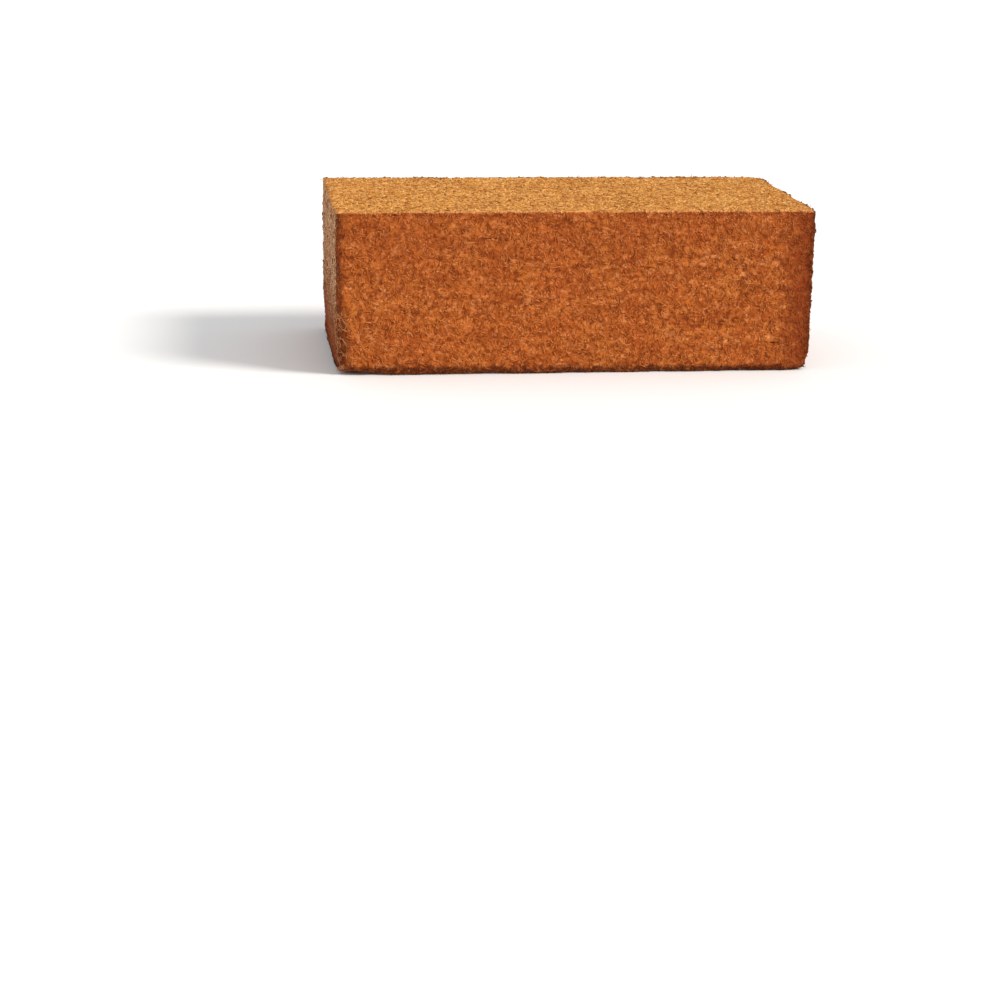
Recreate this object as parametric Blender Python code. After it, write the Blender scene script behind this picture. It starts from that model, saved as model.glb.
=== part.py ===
"""A pressed coconut coir bale: one solid block of coir pith and short fibre.

Run it with: blender --background --python part.py
Metres, +Z up. The origin is at the middle of the base, X runs along the length
and the front of the block faces -Y.
"""

from math import cos, pi

import bmesh
import bpy
from mathutils import Matrix, Vector, noise

# The pressed block, in metres
LENGTH = 0.200
WIDTH = 0.100
HEIGHT = 0.068
HALF = Vector((LENGTH, WIDTH, HEIGHT)) / 2

# Grid of the faces: narrow rows beside each edge, and even cells between them, which are
# lower than they are long because the block is made of layers
EDGE_ROWS = (0.0010, 0.0024, 0.0045, 0.0080)
CELLS = (0.0062, 0.0062, 0.0035)

# The press leaves the top and upright edges crisp, and handling rounds the base edges. The
# radius swings with a noise, coarse and fine, because crumbs fall out here and there.
TOP_EDGE_RADIUS = 0.0010
BASE_EDGE_RADIUS = 0.0026
LEAST_RADIUS = 0.0006
ROUNDED_UP_TO = -0.55 * HALF.z
TOP_CRUMB_REACH = 0.0012
BASE_CRUMB_REACH = 0.0028
CRUMB_SPACING = 0.009
FINE_CRUMB_SPACING = 0.004
FINE_CRUMB_SHARE = 0.5
CRUMB_LEVEL = 0.08
MOST_SWELLING = 0.25

# The side walls: the ledges of the pressed layers, and the pits between lumps of pith.
# Both are shallower beside the upright edges, which the corners of the press held straight.
LAYER_DEPTH = 0.0005
LAYER_THICKNESS = 0.0085
LAYER_LENGTH = 0.036
PIT_DEPTH = 0.0010
PIT_SPACING = 0.0120
PIT_LEVEL = 0.18
UPRIGHT_BAND = 0.012
UPRIGHT_RELIEF = 0.25

# Corners that have broken away: which corner, how far the break reaches, how deep it is
BROKEN_CORNERS = (
    ((-1, 1, -1), 0.013, 0.0034),
    ((1, -1, -1), 0.008, 0.0016),
    ((-1, -1, -1), 0.022, 0.0026),
    ((1, 1, -1), 0.011, 0.0028),
    ((1, 1, 1), 0.006, 0.0012),
)
BREAK_BLUNTNESS = 0.7
BREAK_ROUGHNESS = 0.5
BREAK_GRAIN = 0.4

# Cracks between pressed layers: the wall they open on, the middle along the wall,
# the height, and the length, depth and width at the mouth
CRACKS = (
    ("right", 0.006, 0.0555, 0.062, 0.0075, 0.0013),
    ("right", -0.021, 0.0430, 0.034, 0.0060, 0.0010),
    ("back", -0.034, 0.0485, 0.078, 0.0080, 0.0013),
    ("back", 0.052, 0.0200, 0.050, 0.0065, 0.0011),
    ("left", 0.012, 0.0180, 0.040, 0.0055, 0.0010),
    ("front", -0.037, 0.0560, 0.016, 0.0022, 0.0007),
    ("front", 0.031, 0.0445, 0.011, 0.0018, 0.0006),
    ("front", 0.083, 0.0120, 0.018, 0.0024, 0.0007),
)
CRACK_PIECE_LENGTH = 0.004
CRACK_WAVE = 0.0016
CRACK_WAVE_LENGTH = 0.012
CRACK_TIP = 0.12

# Flakes that have come off the walls: the wall, the middle along the wall, the height,
# and the length, height and depth of the ledge that each one leaves
FLAKES = (
    ("right", 0.018, 0.0625, 0.036, 0.013, 0.0016),
    ("back", -0.045, 0.0590, 0.052, 0.020, 0.0014),
)
FLAKE_CUTS = 7
FLAKE_ROUGHNESS = 0.6
FLAKE_RAGGEDNESS = 0.25
FLAKE_FADE = 0.7
LUMPS_ALONG_A_FLAKE = 3.0
LUMPS_UP_A_FLAKE = 2.0

# Every cutter starts outside the wall, and reads the noise at a place of its own
CUTTER_PROUD = 0.0020
NOISE_STEP = 7.3

# Turns a cutter made for the front wall to face each wall, with that wall's distance
WALLS = {
    "front": (0.0, HALF.y),
    "right": (pi / 2, HALF.x),
    "back": (pi, HALF.y),
    "left": (-pi / 2, HALF.x),
}

COIR_COLOUR = (0.42, 0.105, 0.024, 1.0)
COIR_ROUGHNESS = 0.95


def clear_scene():
    for obj in list(bpy.data.objects):
        bpy.data.objects.remove(obj, do_unlink=True)


def collection(name):
    found = bpy.data.collections.new(name)
    bpy.context.scene.collection.children.link(found)
    return found


def object_from(bm, name, home):
    """Puts a bmesh in a new object, with its normals facing out."""
    bmesh.ops.recalc_face_normals(bm, faces=bm.faces)
    mesh = bpy.data.meshes.new(name)
    bm.to_mesh(mesh)
    bm.free()
    obj = bpy.data.objects.new(name, mesh)
    home.objects.link(obj)
    return obj


def grid_lines(half, cell):
    """Where the faces are cut across one axis, from the edge rows to the even cells."""
    inner = half - EDGE_ROWS[-1]
    cells = round(2 * inner / cell)
    lines = [inner * (2 * i / cells - 1) for i in range(cells + 1)]
    for row in EDGE_ROWS[:-1]:
        lines += [row - half, half - row]
    return lines


def blank_block():
    """A sharp box about the origin, cut into the grid."""
    bm = bmesh.new()
    bmesh.ops.create_cube(bm, size=1.0)
    bmesh.ops.scale(bm, vec=2 * HALF, verts=bm.verts)
    for axis in range(3):
        normal = Vector((0, 0, 0))
        normal[axis] = 1.0
        for line in grid_lines(HALF[axis], CELLS[axis]):
            everything = bm.verts[:] + bm.edges[:] + bm.faces[:]
            bmesh.ops.bisect_plane(bm, geom=everything, plane_co=normal * line, plane_no=normal)
    return bm


def smooth_step(low, high, value):
    share = min(max((value - low) / (high - low), 0.0), 1.0)
    return share * share * (3 - 2 * share)


def edge_radius(point):
    """How round the block is here: more towards the base, and more where crumbs fell out."""
    handled = 1 - smooth_step(-HALF.z, ROUNDED_UP_TO, point.z)
    radius = TOP_EDGE_RADIUS + (BASE_EDGE_RADIUS - TOP_EDGE_RADIUS) * handled
    reach = TOP_CRUMB_REACH + (BASE_CRUMB_REACH - TOP_CRUMB_REACH) * handled
    crumbs = noise.noise(point / CRUMB_SPACING) - CRUMB_LEVEL
    crumbs += FINE_CRUMB_SHARE * noise.noise(point / FINE_CRUMB_SPACING)
    return max(radius + reach * max(crumbs, -MOST_SWELLING), LEAST_RADIUS)


def rounded(point):
    """Moves a point of the sharp box onto the worn one."""
    radius = edge_radius(point)
    core = Vector(min(max(point[i], radius - HALF[i]), HALF[i] - radius) for i in range(3))
    out = point - core
    return core + out.normalized() * radius


def wall_relief(point, sharp):
    """The layers and the pits of the side walls, as a move out of the block."""
    move = Vector((0, 0, 0))
    at = Vector((sharp.x / LAYER_LENGTH, sharp.y / LAYER_LENGTH, sharp.z / LAYER_THICKNESS))
    layers = LAYER_DEPTH * noise.noise(at)
    pits = PIT_DEPTH * max(noise.noise(sharp / PIT_SPACING + at) - PIT_LEVEL, 0.0)
    from_upright_edge = max(HALF[axis] - abs(sharp[axis]) for axis in (0, 1))
    calm = 1 - (1 - UPRIGHT_RELIEF) * (1 - smooth_step(0, UPRIGHT_BAND, from_upright_edge))
    for axis in (0, 1):
        share = smooth_step(HALF[axis] - EDGE_ROWS[-1], HALF[axis], abs(point[axis]))
        move[axis] = (layers - pits) * calm * share * (1 if point[axis] > 0 else -1)
    return move


def break_corners(point):
    """Pushes the surface in round each broken corner, with a rough face."""
    for signs, reach, depth in BROKEN_CORNERS:
        corner = Vector(HALF[i] * signs[i] for i in range(3))
        share = 1 - (point - corner).length / reach
        if share > 0:
            rough = 1 + BREAK_ROUGHNESS * noise.noise(point / (BREAK_GRAIN * reach))
            inwards = -Vector(signs).normalized()
            point = point + inwards * depth * rough * share**BREAK_BLUNTNESS
    return point


def worn_block(home):
    bm = blank_block()
    for vert in bm.verts:
        sharp = vert.co.copy()
        point = rounded(sharp)
        vert.co = break_corners(point + wall_relief(point, sharp))
    return object_from(bm, "coir_bale", home)


def onto_wall(bm, wall, along, height):
    """Turns a cutter, made on the plane y = 0 looking along +Y, to its place on a wall."""
    turn, distance = WALLS[wall]
    place = Matrix.Rotation(turn, 4, "Z") @ Matrix.Translation((along, -distance, height - HALF.z))
    bmesh.ops.transform(bm, matrix=place, verts=bm.verts)


def crack_cutter(index, crack, home):
    """A thin wavy wedge, widest at the wall and in the middle of its length."""
    wall, along, height, length, depth, gape = crack
    bm = bmesh.new()
    bmesh.ops.create_cube(bm, size=2.0)
    lengthwise = [e for e in bm.edges if abs(e.verts[0].co.x - e.verts[1].co.x) > 1]
    bmesh.ops.subdivide_edges(bm, edges=lengthwise, cuts=round(length / CRACK_PIECE_LENGTH))
    for vert in bm.verts:
        x, y, z = vert.co
        bulge = CRACK_TIP + (1 - CRACK_TIP) * cos(x * pi / 2)
        pinch = 1.0 if y < 0 else CRACK_TIP
        at = Vector((x * length / 2 / CRACK_WAVE_LENGTH, index * NOISE_STEP, 0))
        vert.co.x = x * length / 2
        vert.co.y = -CUTTER_PROUD if y < 0 else depth * bulge
        vert.co.z = z * gape / 2 * bulge * pinch + CRACK_WAVE * noise.noise(at)
    onto_wall(bm, wall, along, height)
    return object_from(bm, f"crack_cutter_{index}", home)


def flake_cutter(index, flake, home):
    """A slab with a rough inner face, which leaves a shallow ledge in a wall."""
    wall, along, height, length, tall, depth = flake
    bm = bmesh.new()
    bmesh.ops.create_cube(bm, size=2.0)
    bmesh.ops.subdivide_edges(bm, edges=bm.edges, cuts=FLAKE_CUTS, use_grid_fill=True)
    for vert in bm.verts:
        x, y, z = vert.co
        at = Vector((x * LUMPS_ALONG_A_FLAKE, z * LUMPS_UP_A_FLAKE, index * NOISE_STEP))
        rough = 1 + FLAKE_ROUGHNESS * noise.noise(at)
        ragged = 1 + FLAKE_RAGGEDNESS * noise.noise(-at)
        fade = 1 - FLAKE_FADE * x * x
        vert.co.x = x * length / 2 * ragged
        vert.co.y = -CUTTER_PROUD if y < -0.5 else y * depth * rough * fade
        vert.co.z = z * tall / 2 * ragged
    onto_wall(bm, wall, along, height)
    return object_from(bm, f"flake_cutter_{index}", home)


def cut(obj, cutters):
    """Takes every cutter of a collection out of an object at once."""
    for cutter in cutters.objects:
        cutter.hide_render = True
        cutter.display_type = "WIRE"
    modifier = obj.modifiers.new("cracks_and_flakes", "BOOLEAN")
    modifier.operation = "DIFFERENCE"
    modifier.solver = "EXACT"
    modifier.operand_type = "COLLECTION"
    modifier.collection = cutters


def coir_material():
    material = bpy.data.materials.new("pressed_coir")
    material.use_nodes = True
    shader = material.node_tree.nodes["Principled BSDF"]
    shader.inputs["Base Color"].default_value = COIR_COLOUR
    shader.inputs["Roughness"].default_value = COIR_ROUGHNESS
    shader.inputs["Metallic"].default_value = 0.0
    return material


def stand_on_base(objects, block):
    """Moves everything together so that the block's box stands on z = 0, centred on the origin."""
    points = [vert.co for vert in block.data.vertices]
    low = Vector(min(p[i] for p in points) for i in range(3))
    high = Vector(max(p[i] for p in points) for i in range(3))
    shift = Vector((-(low.x + high.x) / 2, -(low.y + high.y) / 2, -low.z))
    for obj in objects:
        obj.data.transform(Matrix.Translation(shift))


def main():
    clear_scene()
    bale = collection("coir_bale")
    cutters = collection("cutters")
    block = worn_block(bale)
    block.data.materials.append(coir_material())
    for index, flake in enumerate(FLAKES):
        flake_cutter(index, flake, cutters)
    for index, crack in enumerate(CRACKS):
        crack_cutter(index, crack, cutters)
    cut(block, cutters)
    stand_on_base([block, *cutters.objects], block)


main()
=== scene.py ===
# %% [markdown]
# # A pressed block of coconut coir
#
# Coir pith is the corky meal between the fibres of a coconut husk. It is dried, and a press
# squeezes it, with the short fibres still in it, into a block that holds together by itself.
# From a step away the block is a plain box. Up close it is felt: grains of pith, short fibres
# lying every way, dark gaps between them, and crumbs along its edges.
#
# The solid block is loaded as the frame. This script gives it a rough skin, presses fibres
# into that skin, leaves loose hairs, a frayed corner and crumbs on it, and colours them all by
# two shared patterns.

from math import pi, radians, sin

import bmesh
import bpy
import numpy as np
from mathutils import Matrix, Vector, noise
from mathutils.bvhtree import BVHTree


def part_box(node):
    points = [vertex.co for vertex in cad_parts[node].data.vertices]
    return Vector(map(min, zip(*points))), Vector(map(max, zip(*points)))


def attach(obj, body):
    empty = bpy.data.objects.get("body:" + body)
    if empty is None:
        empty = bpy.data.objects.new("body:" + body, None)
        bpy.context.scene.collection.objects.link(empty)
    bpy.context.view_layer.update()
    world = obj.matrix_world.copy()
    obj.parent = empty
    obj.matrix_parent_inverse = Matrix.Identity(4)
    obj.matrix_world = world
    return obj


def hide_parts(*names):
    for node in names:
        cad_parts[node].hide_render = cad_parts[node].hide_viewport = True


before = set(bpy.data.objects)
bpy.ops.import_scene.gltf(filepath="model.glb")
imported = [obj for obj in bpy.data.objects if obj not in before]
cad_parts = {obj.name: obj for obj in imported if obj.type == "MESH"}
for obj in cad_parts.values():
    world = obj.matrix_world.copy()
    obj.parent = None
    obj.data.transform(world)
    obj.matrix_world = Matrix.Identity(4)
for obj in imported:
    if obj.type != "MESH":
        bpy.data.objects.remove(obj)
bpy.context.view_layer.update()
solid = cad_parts["coir_bale"]
low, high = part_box("coir_bale")
middle = (low + high) / 2
half = (high - low) / 2
MM = 0.001
print("The block is", [round(side / MM, 1) for side in high - low], "mm")

# %% [markdown]
# ## A skin fine enough to roughen
#
# The visible skin starts as a copy of the solid. The solid's flat top and base are a few long
# slivers of triangles, which can't be roughened evenly. Each is joined into one face, and that
# face is cut into a grid by upright planes.

# %% An even top and base
MERGE_DISTANCE = 0.001 * MM
TOP_CELL, BASE_CELL = 5 * MM, 8 * MM
FLAT_WITHIN = 0.02 * MM

skin_bm = bmesh.new()
skin_bm.from_mesh(solid.data)
bmesh.ops.remove_doubles(skin_bm, verts=skin_bm.verts, dist=MERGE_DISTANCE)


def faces_at(height):
    """The faces that lie flat at one height."""
    return [f for f in skin_bm.faces if all(abs(v.co.z - height) < FLAT_WITHIN for v in f.verts)]


def cut_into_grid(height, cell):
    """Makes one face of all that is flat at a height, and cuts it into square cells."""
    bmesh.ops.dissolve_faces(skin_bm, faces=faces_at(height))
    for axis in (0, 1):
        across = Vector((0, 0, 0))
        across[axis] = 1.0
        size = high[axis] - low[axis]
        cells = round(size / cell)
        for index in range(1, cells):
            flat = faces_at(height)
            edges = {edge for face in flat for edge in face.edges}
            verts = {vert for face in flat for vert in face.verts}
            line = across * (low[axis] + size * index / cells)
            bmesh.ops.bisect_plane(skin_bm, geom=[*flat, *edges, *verts], plane_co=line, plane_no=across)
    print("Faces at height", round(height / MM, 1), "mm:", len(faces_at(height)))


cut_into_grid(high.z, TOP_CELL)
cut_into_grid(low.z, BASE_CELL)
bmesh.ops.triangulate(skin_bm, faces=skin_bm.faces)

# %% [markdown]
# Every edge is then cut in four, which makes sixteen small triangles of each. A voxel remesh
# would give an even mesh too, but it closes the thin cracks between the pressed layers, and
# cutting the edges keeps them.

# %% The fine skin
CUTS_PER_EDGE = 3
bmesh.ops.subdivide_edges(skin_bm, edges=skin_bm.edges, cuts=CUTS_PER_EDGE, use_grid_fill=True)
print("Skin:", len(skin_bm.faces), "triangles")

# %% [markdown]
# The solid's own facets would still show as flat diamonds on the walls. Smoothing each vertex
# between its neighbours melts them together. Vertices beside a sharp edge or a crack are left
# alone, so that the block keeps its crisp top edges.

# %% Melting the facets
SMOOTH_PASSES, SMOOTH_FACTOR = 10, 0.5
SHARP = radians(14)
flat_verts = [
    vert
    for vert in skin_bm.verts
    if all(edge.is_manifold and edge.calc_face_angle() < SHARP for edge in vert.link_edges)
]
for _ in range(SMOOTH_PASSES):
    bmesh.ops.smooth_vert(
        skin_bm,
        verts=flat_verts,
        factor=SMOOTH_FACTOR,
        use_axis_x=True,
        use_axis_y=True,
        use_axis_z=True,
    )
skin_bm.normal_update()
print(len(flat_verts), "vertices smoothed")

# %% [markdown]
# ## Grain, layers and crumbling edges
#
# Three noises push the skin in and out: one stretched along the layers of the press, one for
# clumps of grains, and one for broad lumps. Near the block's edges a fourth bites pieces off.
# The base only goes inwards, so that the block still stands on the solid's own plane. Each vertex
# remembers how deep it sits, so that the colour can paint shade into the hollows and the cracks.

# %% Roughening the skin
LAYER_SIZE = Vector((12 * MM, 12 * MM, 2.8 * MM))
CLUMP_SIZE = 3.4 * MM
LUMP_SIZE = 10 * MM
BITE_SIZE = 2.6 * MM
LAYER_RELIEF, CLUMP_RELIEF, LUMP_RELIEF = 0.16 * MM, 0.22 * MM, 0.10 * MM
TOP_BITE, UPRIGHT_BITE, BASE_BITE = 0.6 * MM, 0.25 * MM, 1.5 * MM
EDGE_BAND = 3.2 * MM
BITTEN_MORE = 0.05
CRACK_DEPTH = 1.9 * MM
FACES_DOWN = -0.5
HOLLOW_FROM, HOLLOW_FULL = 0.02 * MM, -0.30 * MM


def ramp(low_value, high_value, value):
    """0 up to the first value, 1 from the second on, and smooth between them."""
    share = min(max((value - low_value) / (high_value - low_value), 0.0), 1.0)
    return share * share * (3 - 2 * share)


def distances_inside(point):
    """How far a point lies inside the three nearest walls of the block's box, nearest first."""
    return sorted(half[i] - abs(point[i] - middle[i]) for i in range(3))


def bite_at(point):
    """How deep the crumbling bites here: deepest at the base, least along the upright edges."""
    from_top, from_base = high.z - point.z, point.z - low.z
    bite = UPRIGHT_BITE
    bite += (TOP_BITE - UPRIGHT_BITE) * (1 - ramp(0, EDGE_BAND, from_top))
    return bite + (BASE_BITE - UPRIGHT_BITE) * (1 - ramp(0, 2 * EDGE_BAND, from_base))


def relief(point, normal, to_edge):
    """How far the pith stands out at a point, in metres."""
    wall = 1 - abs(normal.z)
    layered = Vector(point[i] / LAYER_SIZE[i] for i in range(3))
    out = LAYER_RELIEF * wall * noise.noise(layered)
    out += CLUMP_RELIEF * noise.noise(point / CLUMP_SIZE)
    out += LUMP_RELIEF * noise.noise(point / LUMP_SIZE)
    near_edge = 1 - ramp(0, EDGE_BAND, to_edge)
    bitten = max(noise.noise(point / BITE_SIZE) + BITTEN_MORE, 0)
    return out - bite_at(point) * near_edge * bitten


# Painted shade: each vertex stores how dark its hollow or crack is painted
hollow_shade = skin_bm.verts.layers.float.new("hollow_shade")
skin_bm.faces.ensure_lookup_table()
in_crack = []
for face in skin_bm.faces:
    in_crack.append(distances_inside(face.calc_center_median())[0] > CRACK_DEPTH)
moved = []
for vert in skin_bm.verts:
    to_wall, to_edge, _ = distances_inside(vert.co)
    # Vertices deep inside a crack get the full painted shade
    if to_wall > CRACK_DEPTH:
        vert[hollow_shade] = 1.0
        continue
    out = relief(vert.co, vert.normal, to_edge)
    if vert.normal.z < FACES_DOWN:
        out = min(out, 0.0)
    vert[hollow_shade] = ramp(HOLLOW_FROM, HOLLOW_FULL, out) if out < HOLLOW_FROM else 0.0
    moved.append((vert, vert.normal * out))
for vert, move in moved:
    vert.co += move
skin_bm.normal_update()
print("Relief of", round(min(m.dot(v.normal) for v, m in moved) / MM, 2), "mm at its deepest")

# %% [markdown]
# ## Unfolding the skin
#
# A colour map for this skin is laid out like an unfolded carton: each of the six sides of the
# box is one flat piece of the map. The inside of the cracks faces up or down, so those faces
# get two pieces of their own. Blender's own unwrap would cut the rough skin into thousands of
# scraps.

# %% The skin's map
MAP_GAP = 3 * MM
LENGTH, WIDTH, HEIGHT = high - low
MAP_SIZE = max(LENGTH + WIDTH, 2 * WIDTH + 2 * HEIGHT) + 5 * MAP_GAP
ROW = [MAP_GAP, WIDTH + 2 * MAP_GAP, 2 * WIDTH + 3 * MAP_GAP, 2 * WIDTH + HEIGHT + 4 * MAP_GAP]
COLUMN = [MAP_GAP, LENGTH + 2 * MAP_GAP]
# Each side: the axes that run across and up its piece of the map, and the piece's corner
SIDES = {
    "top": (0, 1, COLUMN[0], ROW[0]),
    "base": (0, 1, COLUMN[0], ROW[1]),
    "front": (0, 2, COLUMN[0], ROW[2]),
    "back": (0, 2, COLUMN[0], ROW[3]),
    "right": (1, 2, COLUMN[1], ROW[0]),
    "left": (1, 2, COLUMN[1], ROW[1]),
    "crack_up": (0, 1, COLUMN[1], ROW[2]),
    "crack_down": (0, 1, COLUMN[1], ROW[3]),
}
CRACK_MAP_SCALE = 0.45
MOSTLY_LEVEL = 0.5


def side_of(normal, cracked):
    """Which side of the box a face belongs to."""
    if cracked and abs(normal.z) > MOSTLY_LEVEL:
        return "crack_up" if normal.z > 0 else "crack_down"
    axis = max(range(3), key=lambda i: abs(normal[i]))
    names = (("left", "right"), ("front", "back"), ("base", "top"))[axis]
    return names[int(normal[axis] > 0)]


def map_place(side, point):
    """Where a point of a side goes on the map, from 0 to 1."""
    across, up, column, row = SIDES[side]
    scale = CRACK_MAP_SCALE if side.startswith("crack") else 1.0
    u = column + scale * (point[across] - low[across])
    v = row + scale * (point[up] - low[up])
    return u / MAP_SIZE, v / MAP_SIZE


skin_map = skin_bm.loops.layers.uv.new("OFBake")
side_faces = {name: [] for name in SIDES}
for face, cracked in zip(skin_bm.faces, in_crack):
    side = side_of(face.normal, cracked)
    side_faces[side].append(face.index)
    for loop in face.loops:
        loop[skin_map].uv = map_place(side, loop.vert.co)
print({name: len(faces) for name, faces in side_faces.items()})

# %% [markdown]
# A finished piece is a mesh object that rides on the block. The skin takes the solid's place. A search
# tree of its triangles is kept, because everything that follows has to find the skin's surface.

# %% The skin as a piece


def piece_from(bm, name):
    """Makes a smooth-shaded piece of a bmesh, which rides on the block."""
    for face in bm.faces:
        face.smooth = True
    mesh = bpy.data.meshes.new(name)
    bm.to_mesh(mesh)
    bm.free()
    piece = bpy.data.objects.new(name, mesh)
    bpy.context.scene.collection.objects.link(piece)
    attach(piece, "root")
    return piece


skin_tree = BVHTree.FromBMesh(skin_bm)
skin = piece_from(skin_bm, "pressed_pith")
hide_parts("coir_bale")
print("Skin piece:", len(skin.data.polygons), "faces")

# %% [markdown]
# ## Fibres pressed into the skin
#
# The husk's fibres were chopped before pressing, so most are a few millimetres long and curl a
# little. Each one is a thin tube that walks over the skin in short steps: a step forward, back
# onto the skin, a small turn. It dips into the pith at both ends and rises a little between,
# as a fibre does that the press has half buried. The tubes are poly splines with a bevel,
# because thousands of them become a mesh in one conversion.

# %% Walking a fibre over the skin
POINTS_PER_FIBRE = 5
BURIED = -0.20 * MM
ARCH = 0.7
STEEP_ENOUGH = 0.5
TURN_KEPT = 0.6
LOWEST_FIBRE = 0.12 * MM


def places_on(side, count, rng):
    """Random places on one side of the skin, spread evenly by area, with the normals there."""
    faces = np.array(side_faces[side])
    polygons, verts = skin.data.polygons, skin.data.vertices
    areas = np.zeros(len(polygons))
    polygons.foreach_get("area", areas)
    share = areas[faces] / areas[faces].sum()
    for index in rng.choice(faces, size=count, p=share):
        polygon = polygons[int(index)]
        a, b, c = (verts[i].co for i in polygon.vertices)
        along, up = sorted(rng.random(2))
        yield a + (b - a) * along + (c - a) * (1 - up), polygon.normal.copy()


def fibre_path(place, normal, rng, length, heading, curl, rise):
    """The points of one fibre, from one buried end to the other."""
    level = Vector((0, 0, 1)).cross(normal)
    if level.length < STEEP_ENOUGH:
        level = Vector((1, 0, 0))
    forward = Matrix.Rotation(heading, 3, normal) @ level.normalized()
    turn = rng.normal(0, curl)
    step = length / (POINTS_PER_FIBRE - 1)
    place = place - forward * length / 2
    path = []
    for index in range(POINTS_PER_FIBRE):
        found, normal, _, _ = skin_tree.find_nearest(place)
        share = index / (POINTS_PER_FIBRE - 1)
        lift = BURIED + (rise - BURIED) * sin(share * pi) ** ARCH
        path.append(found + normal * lift)
        path[-1].z = max(path[-1].z, LOWEST_FIBRE)
        turn = TURN_KEPT * turn + rng.normal(0, curl)
        forward = Matrix.Rotation(turn, 3, normal) @ forward
        forward = (forward - normal * forward.dot(normal)).normalized()
        place = found + forward * step
    return path


# %% [markdown]
# The bevelled curve has four sides, which is enough for something about half a millimetre
# thick. Its radius tapers to nothing at both ends, and the four corners that meet there are
# welded, so that each tube is closed. Each tube gets a cell of its own on the map, and a tint.

# %% From paths to a piece of tubes
SIDES_OF_A_TUBE = 4
SHOULDER = 0.8
CELL_MARGIN = 0.08


def tubes(name, paths, radii, tints):
    """Makes one mesh of many tapering tubes, each with its own tint on its vertices."""
    curve = bpy.data.curves.new(name, "CURVE")
    curve.dimensions = "3D"
    curve.bevel_depth = 1.0
    curve.bevel_resolution = 0
    for path, radius in zip(paths, radii):
        spline = curve.splines.new("POLY")
        spline.points.add(len(path) - 1)
        spline.points.foreach_set("co", [n for point in path for n in (*point, 1.0)])
        swell = [radius] * len(path)
        swell[0] = swell[-1] = 0.0
        swell[1] = swell[-2] = SHOULDER * radius
        spline.points.foreach_set("radius", swell)
    draft = bpy.data.objects.new(name, curve)
    bpy.context.scene.collection.objects.link(draft)
    bpy.context.view_layer.update()
    finished = draft.evaluated_get(bpy.context.evaluated_depsgraph_get())
    mesh = bpy.data.meshes.new_from_object(finished)
    bpy.data.objects.remove(draft)
    bpy.data.curves.remove(curve)
    return closed_tubes(name, mesh, [len(path) for path in paths], tints)


def closed_tubes(name, mesh, lengths, tints):
    """Lays each tube in its own cell of a map, writes its tint, and welds its pointed ends."""
    while mesh.uv_layers:
        mesh.uv_layers.remove(mesh.uv_layers[0])
    rings = np.array(lengths)
    corners_each = SIDES_OF_A_TUBE * rings
    cells = int(np.ceil(np.sqrt(len(rings))))
    tube = np.repeat(np.arange(len(rings)), corners_each)
    place = np.arange(len(tube)) - np.repeat(np.cumsum(corners_each) - corners_each, corners_each)
    along = (place // SIDES_OF_A_TUBE) / (np.repeat(rings, corners_each) - 1)
    around = (place % SIDES_OF_A_TUBE).astype(float)
    used = 1 - 2 * CELL_MARGIN
    bm = bmesh.new()
    bm.from_mesh(mesh)
    bpy.data.meshes.remove(mesh)
    tint = bm.verts.layers.float.new("tint")
    uv = bm.loops.layers.uv.new("OFBake")
    bm.verts.ensure_lookup_table()
    for face in bm.faces:
        corners = [loop.vert.index for loop in face.loops]
        # The face from a ring's last corner to its first lies past the last one on the map
        wraps = max(around[corners]) - min(around[corners]) > 1.5
        for loop, corner in zip(face.loops, corners):
            side = around[corner] + (SIDES_OF_A_TUBE if wraps and around[corner] < 1 else 0)
            column, row = tube[corner] % cells, tube[corner] // cells
            u = (column + CELL_MARGIN + used * along[corner]) / cells
            v = (row + CELL_MARGIN + used * side / SIDES_OF_A_TUBE) / cells
            loop[uv].uv = (u, v)
    for vert in bm.verts:
        vert[tint] = tints[tube[vert.index]]
    bmesh.ops.remove_doubles(bm, verts=bm.verts, dist=MERGE_DISTANCE)
    return piece_from(bm, name)


# %% [markdown]
# Lengths follow a lopsided spread: most fibres are near the usual length, and a few are much
# longer and also thinner. One in sixteen or so stands up out of the pith and throws a shadow.

# %% Fibres of each side
SHORTEST, LONGEST = 1.0 * MM, 9 * MM
USUAL_LENGTH, LENGTH_SPREAD = 2.7 * MM, 0.45
THIN, THICK = 0.14 * MM, 0.33 * MM
LONG_ONES_THINNER = 0.45
CURL = 0.24
RISE, RISE_SPREAD = 0.09 * MM, (0.2, 1.6)
STANDING_SHARE, STANDING_RISE = 0.06, 0.5 * MM
FIBRES = {"top": 5600, "front": 6600, "back": 5200, "left": 2500, "right": 2500, "base": 3400}
fibre_pieces = {}


def fibres_of(side, count, seed):
    """Spreads fibres over one side of the skin and makes one piece of them."""
    rng = np.random.default_rng(seed)
    paths, radii, tints = [], [], []
    for place, normal in list(places_on(side, count, rng)):
        length = float(np.clip(USUAL_LENGTH * rng.lognormal(0, LENGTH_SPREAD), SHORTEST, LONGEST))
        heading = rng.uniform(-pi, pi)
        rise = RISE * rng.uniform(*RISE_SPREAD)
        if rng.random() < STANDING_SHARE:
            rise += STANDING_RISE * rng.random()
        paths.append(fibre_path(place, normal, rng, length, heading, CURL, rise))
        slender = 1 - LONG_ONES_THINNER * ramp(USUAL_LENGTH, LONGEST, length)
        radii.append(rng.uniform(THIN, THICK) * slender)
        tints.append(rng.random())
    return tubes(f"fibres_{side}", paths, radii, tints)


for seed, (side, count) in enumerate(FIBRES.items()):
    fibre_pieces[side] = fibres_of(side, count, seed)
    print(side, "has", len(fibre_pieces[side].data.polygons), "faces of fibre")

# %% [markdown]
# ## Loose hairs along the edges
#
# Where the press let the edges crumble, thin hairs stand out of them. These do not walk over the
# skin: each leaves an edge, bends at random and ends in the air, a millimetre or two away.

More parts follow.
